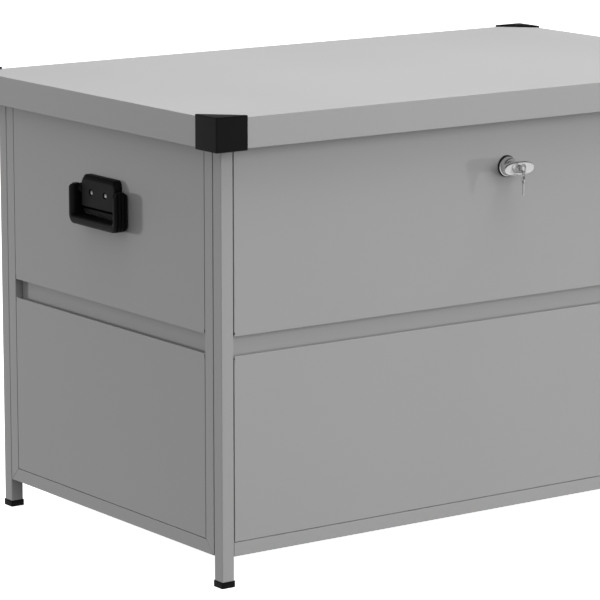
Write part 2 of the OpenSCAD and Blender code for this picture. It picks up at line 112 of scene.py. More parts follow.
def loft(rings, closed=False):
    """Skins a stack of rings that have the same number of points. Open stacks get caps."""
    bm = bmesh.new()
    rows = [[bm.verts.new(p) for p in r] for r in rings]
    count = len(rows[0])
    pairs = list(zip(rows, rows[1:]))
    if closed:
        pairs.append((rows[-1], rows[0]))
    for low, high in pairs:
        for i in range(count):
            j = (i + 1) % count
            bm.faces.new((low[i], low[j], high[j], high[i]))
    if not closed:
        bm.faces.new(list(reversed(rows[0])))
        bm.faces.new(rows[-1])
    bmesh.ops.recalc_face_normals(bm, faces=bm.faces)
    return bm


def lathe(profile, steps=48, closed=False):
    """Turns a profile of (radius, height) points round the z axis."""
    return loft([ring(arc(0, 0, r, 0, 360 * (1 - 1 / steps), steps - 1), z) for r, z in profile], closed)


def prism(outline, low, high, edge=0.0, steps=3):
    """An outline extruded from low to high, with its edges rounded by edge."""
    cx = sum(x for x, _ in outline) / len(outline)
    cy = sum(y for _, y in outline) / len(outline)
    half_w = max(abs(x - cx) for x, _ in outline)
    half_h = max(abs(y - cy) for _, y in outline)

    def shrunk(by):
        kx, ky = 1 - by / half_w, 1 - by / half_h
        return [(cx + (x - cx) * kx, cy + (y - cy) * ky) for x, y in outline]

    if not edge:
        return loft([ring(outline, low), ring(outline, high)])
    turns = [radians(90 * i / steps) for i in range(steps + 1)]
    rings = [ring(shrunk(edge * (1 - sin(t))), low + edge * (1 - cos(t))) for t in turns]
    rings += [ring(shrunk(edge * (1 - cos(t))), high - edge * (1 - sin(t))) for t in turns]
    return loft(rings)


def moved(bm, matrix):
    bmesh.ops.transform(bm, matrix=matrix, verts=bm.verts)
    if matrix.determinant() < 0:
        bmesh.ops.reverse_faces(bm, faces=bm.faces)
    return bm


def shifted(bm, x=0.0, y=0.0, z=0.0):
    return moved(bm, Matrix.Translation((x, y, z)))


def turned(bm, degrees, axis):
    return moved(bm, Matrix.Rotation(radians(degrees), 4, axis))


def joined(*parts):
    """Several bmeshes in one. The parts stay separate shells."""
    whole = bmesh.new()
    scratch = bpy.data.meshes.new("scratch")
    for part in parts:
        part.to_mesh(scratch)
        whole.from_mesh(scratch)
        part.free()
    bpy.data.meshes.remove(scratch)
    return whole


def solid_op(bm, others, operation):
    """Unites bm with the others, or cuts them away from it."""
    target = object_from(bm, "solid_target")
    tools = [object_from(other, "solid_tool") for other in others]
    for tool in tools:
        modifier = target.modifiers.new("op", "BOOLEAN")
        modifier.operation = operation
        modifier.solver = "EXACT"
        modifier.object = tool
    graph = bpy.context.evaluated_depsgraph_get()
    made = bpy.data.meshes.new_from_object(target.evaluated_get(graph))
    result = bmesh.new()
    result.from_mesh(made)
    for o in [target, *tools]:
        bpy.data.meshes.remove(o.data)
    bpy.data.meshes.remove(made)
    bmesh.ops.remove_doubles(result, verts=result.verts, dist=1e-4)
    bmesh.ops.dissolve_limit(result, angle_limit=radians(0.5), verts=result.verts, edges=result.edges)
    return result


def cut(bm, *tools):
    return solid_op(bm, tools, "DIFFERENCE")


def united(bm, *others):
    return solid_op(bm, others, "UNION")


def object_from(bm, name):
    mesh = bpy.data.meshes.new(name)
    bm.to_mesh(mesh)
    bm.free()
    made = bpy.data.objects.new(name, mesh)
    bpy.context.scene.collection.objects.link(made)
    return made


def piece(name, bm, place, body, material, replaces=(), bevel=0.0, smooth=38):
    """A finished piece: placed in the row frame, shaded, riding on its body."""
    moved(bm, place)
    made = object_from(bm, name)
    made.data.materials.append(material)
    made.data.shade_smooth()
    made.data.set_sharp_from_angle(angle=radians(smooth))
    if bevel:
        soften(made, bevel, 2)
    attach(made, body)
    if replaces:
        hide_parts(*replaces)
    return made


def soften(made, width, segments):
    """Rounds the sharp edges by width millimetres."""
    bevel = made.modifiers.new("edges", "BEVEL")
    bevel.width = width * MM
    bevel.segments = segments
    bevel.limit_method = "ANGLE"
    bevel.angle_limit = radians(38)
    bevel.harden_normals = False
    normals = made.modifiers.new("normals", "WEIGHTED_NORMAL")
    normals.keep_sharp = False


# ---- materials ---------------------------------------------------------------------


class Graph:
    """A material's nodes, made one after another."""

    def __init__(self, name):
        self.material = bpy.data.materials.new(name)
        self.material.use_nodes = True
        self.tree = self.material.node_tree
        self.tree.nodes.clear()
        self.shader = self.add("ShaderNodeBsdfPrincipled")
        output = self.add("ShaderNodeOutputMaterial")
        self.link(self.shader.outputs["BSDF"], output.inputs["Surface"])
        self.place = self.add("ShaderNodeTexCoord").outputs["Object"]

    def add(self, kind, **settings):
        node = self.tree.nodes.new(kind)
        for key, value in settings.items():
            setattr(node, key, value)
        return node

    def link(self, source, target):
        self.tree.links.new(source, target)

    def noise(self, scale, detail=2.0, roughness=0.5, stretch=None):
        """Noise with features of about 1 / scale metres, stretched along the axes if asked."""
        place = self.place
        if stretch:
            mapping = self.add("ShaderNodeMapping")
            mapping.inputs["Scale"].default_value = stretch
            self.link(place, mapping.inputs["Vector"])
            place = mapping.outputs["Vector"]
        node = self.add("ShaderNodeTexNoise")
        node.inputs["Scale"].default_value = scale
        node.inputs["Detail"].default_value = detail
        node.inputs["Roughness"].default_value = roughness
        self.link(place, node.inputs["Vector"])
        return node.outputs["Fac"]

    def cells(self, scale, randomness=1.0):
        node = self.add("ShaderNodeTexVoronoi", feature="SMOOTH_F1")
        node.inputs["Scale"].default_value = scale
        node.inputs["Randomness"].default_value = randomness
        node.inputs["Smoothness"].default_value = 0.6
        self.link(self.place, node.inputs["Vector"])
        return node.outputs["Distance"]

    def ramp(self, source, low, high, start=0.3, end=0.7):
        """Maps start..end of the source to low..high."""
        node = self.add("ShaderNodeMapRange")
        for key, value in (("From Min", start), ("From Max", end), ("To Min", low), ("To Max", high)):
            node.inputs[key].default_value = value
        self.link(source, node.inputs["Value"])
        return node.outputs["Result"]

    def mix(self, factor, first, second):
        """A colour between two greys or two sockets."""
        node = self.add("ShaderNodeMix", data_type="RGBA")
        self.link(factor, node.inputs["Factor"])
        for socket, value in ((node.inputs[6], first), (node.inputs[7], second)):
            if isinstance(value, bpy.types.NodeSocket):
                self.link(value, socket)
            else:
                socket.default_value = (*value, 1)
        return node.outputs[2]

    def edges(self, radius):
        """1 on edges within about radius metres, 0 on flat faces."""
        round_normal = self.add("ShaderNodeBevel", samples=4)
        round_normal.inputs["Radius"].default_value = radius
        true_normal = self.add("ShaderNodeNewGeometry").outputs["Normal"]
        dot = self.add("ShaderNodeVectorMath", operation="DOT_PRODUCT")
        self.link(round_normal.outputs["Normal"], dot.inputs[0])
        self.link(true_normal, dot.inputs[1])
        return self.ramp(dot.outputs["Value"], 1, 0, 0.8, 0.98)

    def bump(self, height, strength, distance, under=None):
        node = self.add("ShaderNodeBump")
        node.inputs["Strength"].default_value = strength
        node.inputs["Distance"].default_value = distance
        self.link(height, node.inputs["Height"])
        if under:
            self.link(under, node.inputs["Normal"])
        return node.outputs["Normal"]

    def finish(self, colour=None, roughness=None, normal=None, **constants):
        """Connects the sockets that vary and sets the ones that don't."""
        for key, value in constants.items():
            self.shader.inputs[key.replace("_", " ").title().replace("Ior", "IOR")].default_value = value
        for key, source in (("Base Color", colour), ("Roughness", roughness), ("Normal", normal)):
            if source:
                self.link(source, self.shader.inputs[key])
        return self.material


def grey(value):
    return (value, value, value)


def powder_coat(name, tone):
    """Semi-matt polyester powder coat: orange peel, fine speckle, and edges painted paler as a highlight."""
    g = Graph(name)
    broad = g.noise(3.2, 3)
    speckle = g.noise(2600, 2, 0.7)
    peel = g.noise(620, 3, 0.55)
    grain = g.noise(3100, 2, 0.6)
    colour = g.mix(g.ramp(broad, 0, 1), grey(tone * 0.985), grey(tone * 1.015))
    colour = g.mix(g.ramp(speckle, 0, 0.14, 0.52, 0.74), colour, grey(tone * 0.66))
    # painted highlight: every edge mixed paler, up to 1.22 times the tone
    colour = g.mix(g.ramp(g.edges(0.0008), 0, 0.22, 0, 1), colour, grey(min(1, tone * 1.22)))
    normal = g.bump(grain, 0.16, 0.00006, g.bump(peel, 0.14, 0.00022))
    return g.finish(colour, g.ramp(broad, 0.46, 0.54), normal, specular_ior_level=0.42)


def moulded_plastic(name, tone, grain_scale, roughness):
    """Injection-moulded black plastic with an eroded grain, its edges painted paler as a highlight."""
    g = Graph(name)
    cells = g.cells(grain_scale)
    fine = g.noise(grain_scale * 2.4, 2, 0.6)
    broad = g.noise(22, 2)
    painted_edge_highlight = g.edges(0.0007)
    colour = g.mix(g.ramp(broad, 0, 1), grey(tone * 0.85), grey(tone * 1.15))
    # painted highlight: edges mixed up to 2.6 times paler than the tone
    colour = g.mix(g.ramp(painted_edge_highlight, 0, 0.35, 0, 1), colour, grey(tone * 2.6))
    normal = g.bump(fine, 0.2, 0.00005, g.bump(cells, 0.3, 0.00012))
    return g.finish(colour, g.ramp(cells, roughness - 0.06, roughness + 0.08, 0.1, 0.6), normal,
                    specular_ior_level=0.15)


def rubber(name, tone):
    """Matt rubber with a faint bloom."""
    g = Graph(name)
    bloom = g.noise(60, 4, 0.6)
    fine = g.noise(2800, 2, 0.6)
    colour = g.mix(g.ramp(bloom, 0, 1, 0.4, 0.75), grey(tone), grey(tone * 2.0))
    return g.finish(colour, g.ramp(bloom, 0.72, 0.86), g.bump(fine, 0.25, 0.00006), specular_ior_level=0.25)


def zinc(name):
    """Bright zinc plate with faint rolling lines and stains."""
    g = Graph(name)
    stain = g.noise(45, 4, 0.6)
    lines = g.noise(900, 2, 0.5, (1, 1, 0.06))
    colour = g.mix(g.ramp(stain, 0, 1), (0.42, 0.43, 0.44), (0.60, 0.61, 0.62))
    return g.finish(colour, g.ramp(stain, 0.30, 0.46), g.bump(lines, 0.12, 0.00004), metallic=1.0)


def chrome(name):
    """Polished chrome over a zinc casting: nearly mirror, with a slow ripple and hazy patches."""
    g = Graph(name)
    ripple = g.noise(140, 1, 0.4)
    haze = g.noise(260, 4, 0.6)
    colour = g.mix(g.ramp(haze, 0, 1), grey(0.69), grey(0.77))
    return g.finish(colour, g.ramp(haze, 0.15, 0.26), g.bump(ripple, 0.10, 0.0002), metallic=1.0)


def brushed(name, tone, low, high, stretch):
    """Brushed or ground metal, with its lines along the axis that is stretched least."""
    g = Graph(name)
    lines = g.noise(2200, 3, 0.6, stretch)
    stain = g.noise(80, 3)
    colour = g.mix(g.ramp(lines, 0, 1), grey(tone * 0.82), grey(tone))
    return g.finish(colour, g.ramp(stain, low, high), g.bump(lines, 0.22, 0.00005), metallic=1.0)


def satin_paint(name, tone):
    """Satin black paint on a steel tube."""
    g = Graph(name)
    peel = g.noise(900, 2, 0.5)
    broad = g.noise(35, 3)
    colour = g.mix(g.ramp(broad, 0, 1), grey(tone * 0.85), grey(tone * 1.2))
    return g.finish(colour, g.ramp(broad, 0.26, 0.36), g.bump(peel, 0.10, 0.00010), coat_weight=0.3,
                    coat_roughness=0.12)


FRAME_COAT = powder_coat("frame_powder_coat", 0.43)
PANEL_COAT = powder_coat("panel_powder_coat", 0.43)
LID_COAT = powder_coat("lid_powder_coat", 0.43)
PLASTIC = moulded_plastic("black_plastic", 0.0034, 1500, 0.46)
RUBBER = rubber("black_rubber", 0.010)
ZINC = zinc("zinc_steel")
CHROME = chrome("lock_chrome")
NICKEL = brushed("key_nickel", 0.62, 0.20, 0.30, (1, 1, 0.08))
STRUT_PAINT = satin_paint("strut_black", 0.012)
ROD = brushed("rod_chrome", 0.82, 0.08, 0.16, (0.05, 0.05, 1))


# ---- sheet metal and tubes carried over from the frame ------------------------------


def dress(names, material, width):
    """Gives carried-over sheet metal its coat and rounds its edges."""
    for name in names:
        made = NODES[name]
        made.data.materials.clear()
        made.data.materials.append(material)
        made.modifiers.new("weld", "WELD").merge_threshold = 0.00001
        flat = made.modifiers.new("flat", "DECIMATE")
        flat.decimate_type = "DISSOLVE"
        flat.angle_limit = radians(1)
        soften(made, width, 2)


FRAME_NODES = [n for n in NODES if n.startswith(("post_", "rail_", "rim_rail_", "stiles_"))]
PANEL_NODES = [n for n in NODES if n.startswith(("panel_", "band_"))]
dress(FRAME_NODES, FRAME_COAT, 0.35)
dress(PANEL_NODES, PANEL_COAT, 0.4)
dress(["floor_panel", "floor_beams"], FRAME_COAT, 0.3)
dress(["lid_shell"], LID_COAT, 0.4)
dress(["lid_stiffeners"], LID_COAT, 0.3)
dress(["lock_striker"], ZINC, 0.3)


# ---- plastic caps ---------------------------------------------------------------------


CAP_ARM = 52.0


def corner_cap():
    """A lid corner cap. Its corner is at the lid's corner, with its arms along -x and -y."""
    low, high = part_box("lid_corner_caps")
    shell_low, shell_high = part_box("lid_shell")
    wall_t = mm(high.x - shell_high.x)
    top = mm(high.z - shell_high.z)
    drop = mm(high.z - low.z) - top
    skirt = mm(shell_high.z - shell_low.z)
    corner_r = 2.6

    def outer_edge(inset):
        outer = wall_t - inset
        turn = arc(outer - corner_r, outer - corner_r, corner_r, 90, 0, 6)
        end = inset - CAP_ARM
        return end, [(end, outer), *turn, (outer, end)]

    def wall_ring(inset, inner, z):
        """The L of the two walls, with its inner corner at (inner, inner)."""
        end, points = outer_edge(inset)
        return ring([*points, (inner, end), (inner, inner), (end, inner)], z)

    def plate_ring(inset, z):
        """The top plate, whose inner edge is a straight cut between the arm ends."""
        end, points = outer_edge(inset)
        middle = inset * 0.4 - CAP_ARM / 2
        return ring([*points, (0.0, end), (middle, middle), (end, 0.0)], z)

    lip = -4.0
    edge = 0.9
    steps = [radians(90 * i / 3) for i in range(4)]
    rings = [wall_ring(0.7, lip + 0.4, -drop), wall_ring(0.2, lip, -drop + 0.25)]
    rings += [wall_ring(0, lip, -drop + 0.8)]
    rings += [wall_ring(0, lip, -skirt - 0.1), wall_ring(0, 0.0, -skirt - 0.1), wall_ring(0, 0.0, 0.05)]
    rings += [plate_ring(0, 0.05)]
    rings += [plate_ring(edge * (1 - cos(t)), top - edge * (1 - sin(t))) for t in steps]
    cap = loft(rings)
    bmesh.ops.remove_doubles(cap, verts=cap.verts, dist=0.001)
    return cap


def corner_caps():
    low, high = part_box("lid_shell")
    caps = []
    for sx in (-1, 1):
        for sy in (-1, 1):
            x = mm(high.x if sx > 0 else low.x)
            y = mm(high.y if sy > 0 else low.y)
            mirror = Matrix.Diagonal((sx, sy, 1, 1))
            caps.append(moved(corner_cap(), Matrix.Translation((x, y, mm(high.z))) @ mirror))
    piece("lid_corner_cap_mouldings", joined(*caps), ROW, "lid", PLASTIC,
          ["lid_corner_caps"], smooth=30)


def foot_caps():
    """Cups over the post ends, with a chamfered sole and a parting line."""
    low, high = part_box("foot_caps")
    height = mm(high.z - low.z)
    wall_t = mm(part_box("post_front_left")[0].x - low.x)
    feet = []
    for post in ("post_front_left", "post_front_right", "post_rear_left", "post_rear_right"):
        post_low, post_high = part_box(post)
        cx, cy = mm(post_low.x + post_high.x) / 2, mm(post_low.y + post_high.y) / 2
        width = mm(post_high.x - post_low.x)
        outer = width + 2 * wall_t

        def square(inset, r):
            return rounded_rect(outer - 2 * inset, outer - 2 * inset, r, 5, cx, cy)

        profile = [(0.6, 0.0), (0.2, 0.2), (0.0, 0.7), (0.0, 2.6), (0.3, 2.8), (0.3, 3.1), (0.0, 3.3)]
        profile += [(0.0, height - 0.8), (0.3, height - 0.2), (0.7, height)]
        rings = [ring(square(inset, 1.8 - inset), z) for inset, z in profile]
        hole = rounded_rect(width + 0.1, width + 0.1, 0.8, 5, cx, cy)
        rings += [ring(hole, height), ring(hole, 2.5)]
        feet.append(loft(rings))
    piece("foot_cap_mouldings", joined(*feet), ROW, "box", PLASTIC, ["foot_caps"], smooth=30)


corner_caps()
foot_caps()


# ---- end handles -----------------------------------------------------------------------


PIVOT_Z = 550.5
PIVOT_OUT = 8.0
SCREW_X = 19.5
SCREW_Z = 547.0
BLOCK_OUT = 13.6
BOSS_R = 6.8


def handle_block():
    """The moulded plate behind a folding handle: block, counterbores, lip, backing and pivot axle."""

    def front(half, low, high, r, z):
        corners = [(half - 1.5, low, 1.5), (half - r, high, r), (r - half, high, r), (1.5 - half, low, 1.5)]
        points = arc(corners[0][0], low + 1.5, 1.5, -90, 0, 4)
        points += arc(corners[1][0], high - r, r, 0, 90, 8)
        points += arc(corners[2][0], high - r, r, 90, 180, 8)
        points += arc(corners[3][0], low + 1.5, 1.5, 180, 270, 4)
        return ring(points, z)

    low, high = 524.0, 572.5
    rings = [
        front(47, low, high, 8, 0), front(47, low, high, 8, 8.2), front(46.9, low, high - 0.6, 8, 9.2),
        front(46.6, low + 0.1, high - 4.2, 7.8, 11.8), front(46.0, low + 0.3, high - 5.9, 7.4, 13.0),
        front(45.2, low + 0.7, high - 7.0, 7.0, 13.45), front(44.0, low + 1.4, high - 8.2, 6.6, BLOCK_OUT),
    ]
    counterbore = [(5.0, 10.5), (5.0, 13.0), (5.4, 14.2)]
    bores = [shifted(lathe(counterbore, 32), s * SCREW_X, SCREW_Z) for s in (-1, 1)]
    block = cut(loft(rings), *bores)
    lip = [(0, 513), (8.4, 513), (9.2, 513.6), (9.2, 519.4), (8.5, 520.4), (3.0, 521.0), (0, 521.0)]
    shelf = loft([[Vector((x, y, z)) for z, y in lip] for x in (-47, 47)])
    backing = prism(rounded_rect(110, 29, 3, 4, 0, 527.5), 0, 3, 0.6)
    axle = turned(lathe([(3.2, -59.5), (4.0, -58.7), (4.0, 58.7), (3.2, 59.5)], 32), 90, "Y")
    return joined(block, shelf, backing, shifted(axle, 0, PIVOT_Z, PIVOT_OUT))


INNER_ROUND = 9.0


def bail_ring(out, outer_inset, inner_inset):
    """The U of the handle at one distance from the wall, from the top of one arm to the other's."""
    half, arm, grip = 65.0, 9.0, 14.5
    low, deep = 496.0, 24.0
    near, far = 1.2, 1.2 + deep
    top_r, foot_r = 10.5, 4.0
    from_edge = min(out - near, far - out)
    foot_lift = foot_r - sqrt(max(0.0, foot_r**2 - max(0.0, foot_r - from_edge) ** 2))
    top_drop = top_r - sqrt(max(0.0, top_r**2 - max(0.0, top_r - from_edge) ** 2))
    top = PIVOT_Z + BOSS_R - top_drop
    bottom = low + foot_lift + outer_inset * 0.5
    side = half - outer_inset
    inside = half - arm + inner_inset
    shelf = low + grip - inner_inset
    r_out, r_in = 11.0, 5.0
    right = [(inside, top), (side, top), *arc(side - r_out, bottom + r_out, r_out, 0, -90, 8)]
    left = [*arc(r_out - side, bottom + r_out, r_out, -90, -180, 8), (-side, top), (-inside, top)]
    hollow = arc(r_in - inside, shelf + r_in, r_in, 180, 270, 6)
    hollow += arc(inside - r_in, shelf + r_in, r_in, -90, 0, 6)
    return ring(right + left + hollow, out)


def bail():
    """The folding handle: U-strap with round tops and three edge grooves, two bosses and a bore."""
    near, far = 1.2, 25.2
    edge = 2.0
    turns = [radians(22.5 * i) for i in range(5)]
    stations = [(near + edge * (1 - cos(t)), edge * (1 - sin(t))) for t in turns]
    grooves = []
    for start in (6.0, 12.0, 18.0):
        grooves += [(start, 0.0), (start + 0.3, 1.9), (start + 2.1, 1.9), (start + 2.4, 0.0)]
    back = [(far - edge * (1 - sin(t)), edge * (1 - cos(t))) for t in turns]

    def softened(z):
        """How far the rounding of the inner front edge has gone at z."""
        rise = max(0.0, (z - far + INNER_ROUND) / INNER_ROUND)
        return INNER_ROUND * 0.5 * (1 - sqrt(max(0.0, 1 - rise**2)))

    rings = [bail_ring(z, inset, inset * 0.8) for z, inset in [*stations, (4.2, 0.0)]]
    rings += [bail_ring(z, inset, softened(z)) for z, inset in [*grooves, (21.8, 0.0), *back]]
    bosses = []
    for side in (-1, 1):
        boss = lathe([(6.0, 47.7), (BOSS_R, 48.5), (BOSS_R, 57.0)], 32)
        bosses.append(shifted(turned(boss, 90 * side, "Y"), 0, PIVOT_Z, PIVOT_OUT))
    bore = turned(lathe([(4.06, -60.5), (4.06, 60.5)], 32), 90, "Y")
    return cut(united(loft(rings), *bosses), shifted(bore, 0, PIVOT_Z, PIVOT_OUT))


def pan_screw(radius, height, recess=True):
    """A pan-head screw standing on z = 0, with a cross recess."""
    dome = [(radius * k, height * (1 - k**3.2)) for k in (1.0, 0.94, 0.82, 0.66, 0.45, 0.22)]
    head = lathe([(radius * 0.96, 0.0), *[(r, max(h, 0.18 * height)) for r, h in dome]], 32)
    if not recess:
        return head
    slots = [shifted(prism(rounded_rect(w, h, 0.35, 2), 0, height), 0, 0, height * 0.42)
             for w, h in ((radius * 1.25, 0.95), (0.95, radius * 1.25))]
    return cut(head, *slots)


for side, place in (("left", LEFT), ("right", RIGHT)):
    piece(f"handle_block_{side}", handle_block(), place, "box", PLASTIC,
          [f"handle_plate_{side}"], smooth=32)
    piece(f"folding_handle_{side}", bail(), place, f"{side}_bail", PLASTIC,
          [f"bail_{side}"], smooth=32)
    heads = []
    for s in (-1, 1):
        heads.append(shifted(turned(pan_screw(4.4, 2.6), 12 + 15 * s, "Z"), s * SCREW_X, SCREW_Z, 10.5))
    piece(f"handle_screw_heads_{side}", joined(*heads), place, "box", ZINC, ["handle_screws"],
          smooth=32)


# ---- lock and keys ------------------------------------------------------------------------


LOCK_Z = 581.0
AT_LOCK = FRONT @ Matrix.Translation((0, LOCK_Z, 0))
WING_FACE = 33.0
BOW_OUT = 41.5


def lock_housing():
    profile = [(6.1, -21.8), (9.4, -22.0), (10.0, -21.4), (10.0, 2.5), (15.2, 2.5), (15.5, 2.9), (15.5, 3.5)]
    profile += [(15.1, 4.0), (14.6, 4.2), (13.9, 8.2), (13.3, 10.6), (12.6, 11.7), (11.4, 12.2)]
    profile += [(6.6, 12.2), (6.1, 11.8)]
    return lathe(profile, 64, closed=True)


def wing():
    """The chrome wing: collar and neck, then an oval with rounded edges and a bore for the plug."""
    steps = 72
    half_l, half_h = 28.5, 10.3

    def oval(inset, z):
        return ring(superellipse(half_l - inset, half_h - inset, 2.5, steps), z)

    def circle(r, z):
        return ring(superellipse(r, r, 2, steps), z)

    rings = [circle(6.0, -31.5), circle(6.0, 12.5), circle(9.2, 12.5), circle(9.8, 13.0), circle(9.8, 15.0)]
    rings += [circle(8.8, 16.2), circle(8.7, 20.0), circle(9.0, 22.2)]
    rings += [oval(1.4 * k, z) for k, z in ((2.4, 23.2), (1.2, 24.0), (0.5, 25.0))]
    rings += [oval(inset, z) for inset, z in
              ((0.1, 26.0), (0.0, 27.2), (0.0, 31.2), (0.15, 32.0), (0.5, 32.6), (1.0, 32.9), (1.6, 33.0))]
    rings += [circle(6.5, WING_FACE), circle(6.1, 32.8), circle(5.6, 32.4), circle(5.6, 15.0)]
    return loft(rings)


def wing_square():
    return prism(rounded_rect(8, 8, 0.6, 3), -37, -29, 0.4)


def plug():
    body = lathe([(5.1, 15.2), (5.5, 15.6), (5.5, 32.4), (5.1, 32.9), (4.4, 33.1)], 48)
    return cut(body, prism(rounded_rect(2.4, 8.4, 0.5, 3), 18, 36))


def bow(w, h, thick, hole_w, hole_h, slot_y=0.0):
    """The flat grip of a key with a slot for the ring, its middle at the origin."""
    steps = 48
    outer = superellipse(w / 2, h / 2, 2.5, steps)
    hole = [(x, y + slot_y) for x, y in superellipse(hole_w / 2, hole_h / 2, 2.6, steps)]

    def shrunk(points, by):
        return [(x * (1 - by / (w / 2)), y * (1 - by / (h / 2))) for x, y in points]

    def grown(points, by):
        kx, ky = 1 + by / (hole_w / 2), 1 + by / (hole_h / 2)
        return [(x * kx, slot_y + (y - slot_y) * ky) for x, y in points]

    half, edge = thick / 2, 0.3
    rings = [ring(outer, edge - half), ring(outer, half - edge), ring(shrunk(outer, edge), half)]
    rings += [ring(grown(hole, 0.2), half), ring(hole, half - 0.2), ring(hole, 0.2 - half)]
    rings += [ring(grown(hole, 0.2), -half), ring(shrunk(outer, edge), -half)]
    return loft(rings, closed=True)


def key_blade(width, length, thick, cuts):
    """A key blade hanging along -y from the origin, with bitting cuts along one edge."""
    half = width / 2
    tip = 2.2
    right = [(half, 0.0)]
    for i in range(cuts):
        y = -4.5 - i * (length - 8.5) / max(1, cuts - 1)
        depth = 0.5 + 0.9 * ((i * 5 + 3) % 4) / 3
        right += [(half, y + 1.3), (half - depth, y + 0.5), (half - depth, y - 0.5), (half, y - 1.3)]
    outline = [*reversed(right), (-half, 0.0), (-half, tip - length), (tip * 0.2 - half * 0.4, -length)]
    outline += [(half * 0.4, -length), (half, tip - length)]
    blade = loft([ring(outline, -thick / 2), ring(outline, thick / 2)])
    groove = prism(rounded_rect(0.9, length * 0.9, 0.3, 2), thick / 2 - 0.35, thick)
    return cut(blade, shifted(groove, -0.5, -length * 0.5))


def wire_ring(radius, wire):
    """A split ring: one turn of wire lying in its own x-y plane."""
    steps = 72
    turns = []
    for i in range(steps):
        a = 2 * pi * i / steps
        centre = Vector((radius * cos(a), radius * sin(a), 0))
        out = Vector((cos(a), sin(a), 0))
        turns.append([centre + out * x + Vector((0, 0, z)) for x, z in arc(0, 0, wire, 0, 345, 23)])
    return loft(turns, closed=True)


def lock():
    gasket_profile = [(10.1, 0.0), (16.1, 0.0), (16.5, 0.4), (16.5, 2.0), (16.0, 2.5), (10.1, 2.5)]
    gasket = lathe(gasket_profile, 64, closed=True)
    piece("lock_gasket_ring", gasket, AT_LOCK, "box", RUBBER, ["lock_gasket"])
    piece("lock_housing_turned", lock_housing(), AT_LOCK, "box", CHROME, ["lock_housing"])
    piece("lock_wing", united(wing(), wing_square()), AT_LOCK, "wing", CHROME,
          ["wing_handle"], smooth=42)
    piece("lock_plug", plug(), AT_LOCK, "lock_key", NICKEL, ["key_plug"], bevel=0.15)

    hexagon = [(15 * cos(radians(60 * i)), 15 * sin(radians(60 * i))) for i in range(6)]
    nut = cut(prism(hexagon, -7, -1, 0.7, 2), lathe([(10.05, -8), (10.05, 0)], 48))
    piece("lock_nut_hex", nut, AT_LOCK, "box", ZINC, ["lock_nut"], bevel=0.25)

    reach = 45.0
    blade = [(-8, 6), *arc(0, 0, 10, 143, 397, 20), (8, 6), *arc(4, reach - 4, 4, 0, 90, 5),
             *arc(-4, reach - 4, 4, 90, 180, 5)]
    cam = cut(prism(blade, -35, -32), prism(rounded_rect(8.1, 8.1, 0.6, 3), -36, -31))
    piece("lock_cam_plate", cam, AT_LOCK, "wing", ZINC, ["lock_cam"], bevel=0.3)

    sideways = AT_LOCK @ Matrix.Translation((0, 0, BOW_OUT)) @ Matrix.Rotation(radians(90), 4, "Y")
    grip = bow(12, 16, 1.6, 5.5, 8)
    blade = shifted(turned(key_blade(7.6, 18.0, 1.6, 4), 90, "Z"), 4.8)
    piece("lock_key_in_use", joined(grip, blade), sideways, "lock_key", NICKEL, ["key"],
          smooth=30)

    ring_top = LOCK_Z - 2.85
    hang = FRONT @ Matrix.Translation((0, 0, BOW_OUT))
    turn = hang @ Matrix.Translation((0, ring_top - 6, 0)) @ Matrix.Rotation(radians(29), 4, "Y")
    piece("key_ring_wire", wire_ring(6.0, 0.55), turn, "spare", NICKEL, ["key_ring"])

    spare = hang @ Matrix.Translation((0, ring_top - 13.6, 0)) @ Matrix.Rotation(radians(72), 4, "Y")
    grip = bow(10, 11, 1.6, 4.5, 5.6)
    blade = shifted(key_blade(4.8, 20.0, 1.6, 5), 0, -4.0)
    piece("spare_key_cut", joined(grip, blade), spare, "spare", NICKEL, ["spare_key"],
          smooth=30)


lock()


# ---- hinges -------------------------------------------------------------------------------


def hinge_places():
    """The middle of each hinge on its axis, in millimetres."""
    low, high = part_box("hinge_pins")
    y, z = mm(low.y + high.y) / 2, mm(low.z + high.z) / 2
    half_pin = 36.0
    left, right = mm(low.x) + half_pin, mm(high.x) - half_pin
    return [Matrix.Translation((x, y, z)) for x in (left, (left + right) / 2, right)]


def along_x(outline, low, high):
    """Extrudes an outline of (y, z) points along x."""
    return loft([[Vector((x, y, z)) for y, z in outline] for x in (low, high)])


def body_leaf():
    """Leaf screwed to the rear: a plate whose ends curl round the pin."""
    back = -10.0
    plate_outline = [(back, -48), (back + 2.2, -48), (back + 2.5, -47.7), (back + 2.5, -5.5), (back, -5.5)]
    plate = along_x(plate_outline, -35, 35)
    curls = []
    outline = [(back + 0.1, -9.5), (back + 2.4, -9.5), (-3.5, -8.6), *arc(0, 0, 5.5, -100, 150, 18),
               (back + 0.1, -3.0)]
    for low, high in ((-34.9, -12.96), (12.96, 34.9)):
        curls.append(along_x(outline, low, high))
    bore = turned(lathe([(3.02, -37), (3.02, 37)], 32), 90, "Y")
    return cut(united(plate, *curls), bore)


def lid_leaf():
    """Leaf screwed inside the lid's rear skirt: middle knuckle, web and upright."""
    inner, reach = 12.56, 19.0
    knuckle = along_x([*arc(0, 0, 5.5, 30, 360, 20), (reach - 2.5, 0), (reach - 2.5, 2.5)], -inner, inner)
    upright = along_x([(reach - 2.5, 0), (reach, 0), (reach, 32), (reach - 2.5, 32)], -35, 35)
    bore = turned(lathe([(3.06, -20), (3.06, 20)], 32), 90, "Y")
    return cut(united(knuckle, upright), bore)


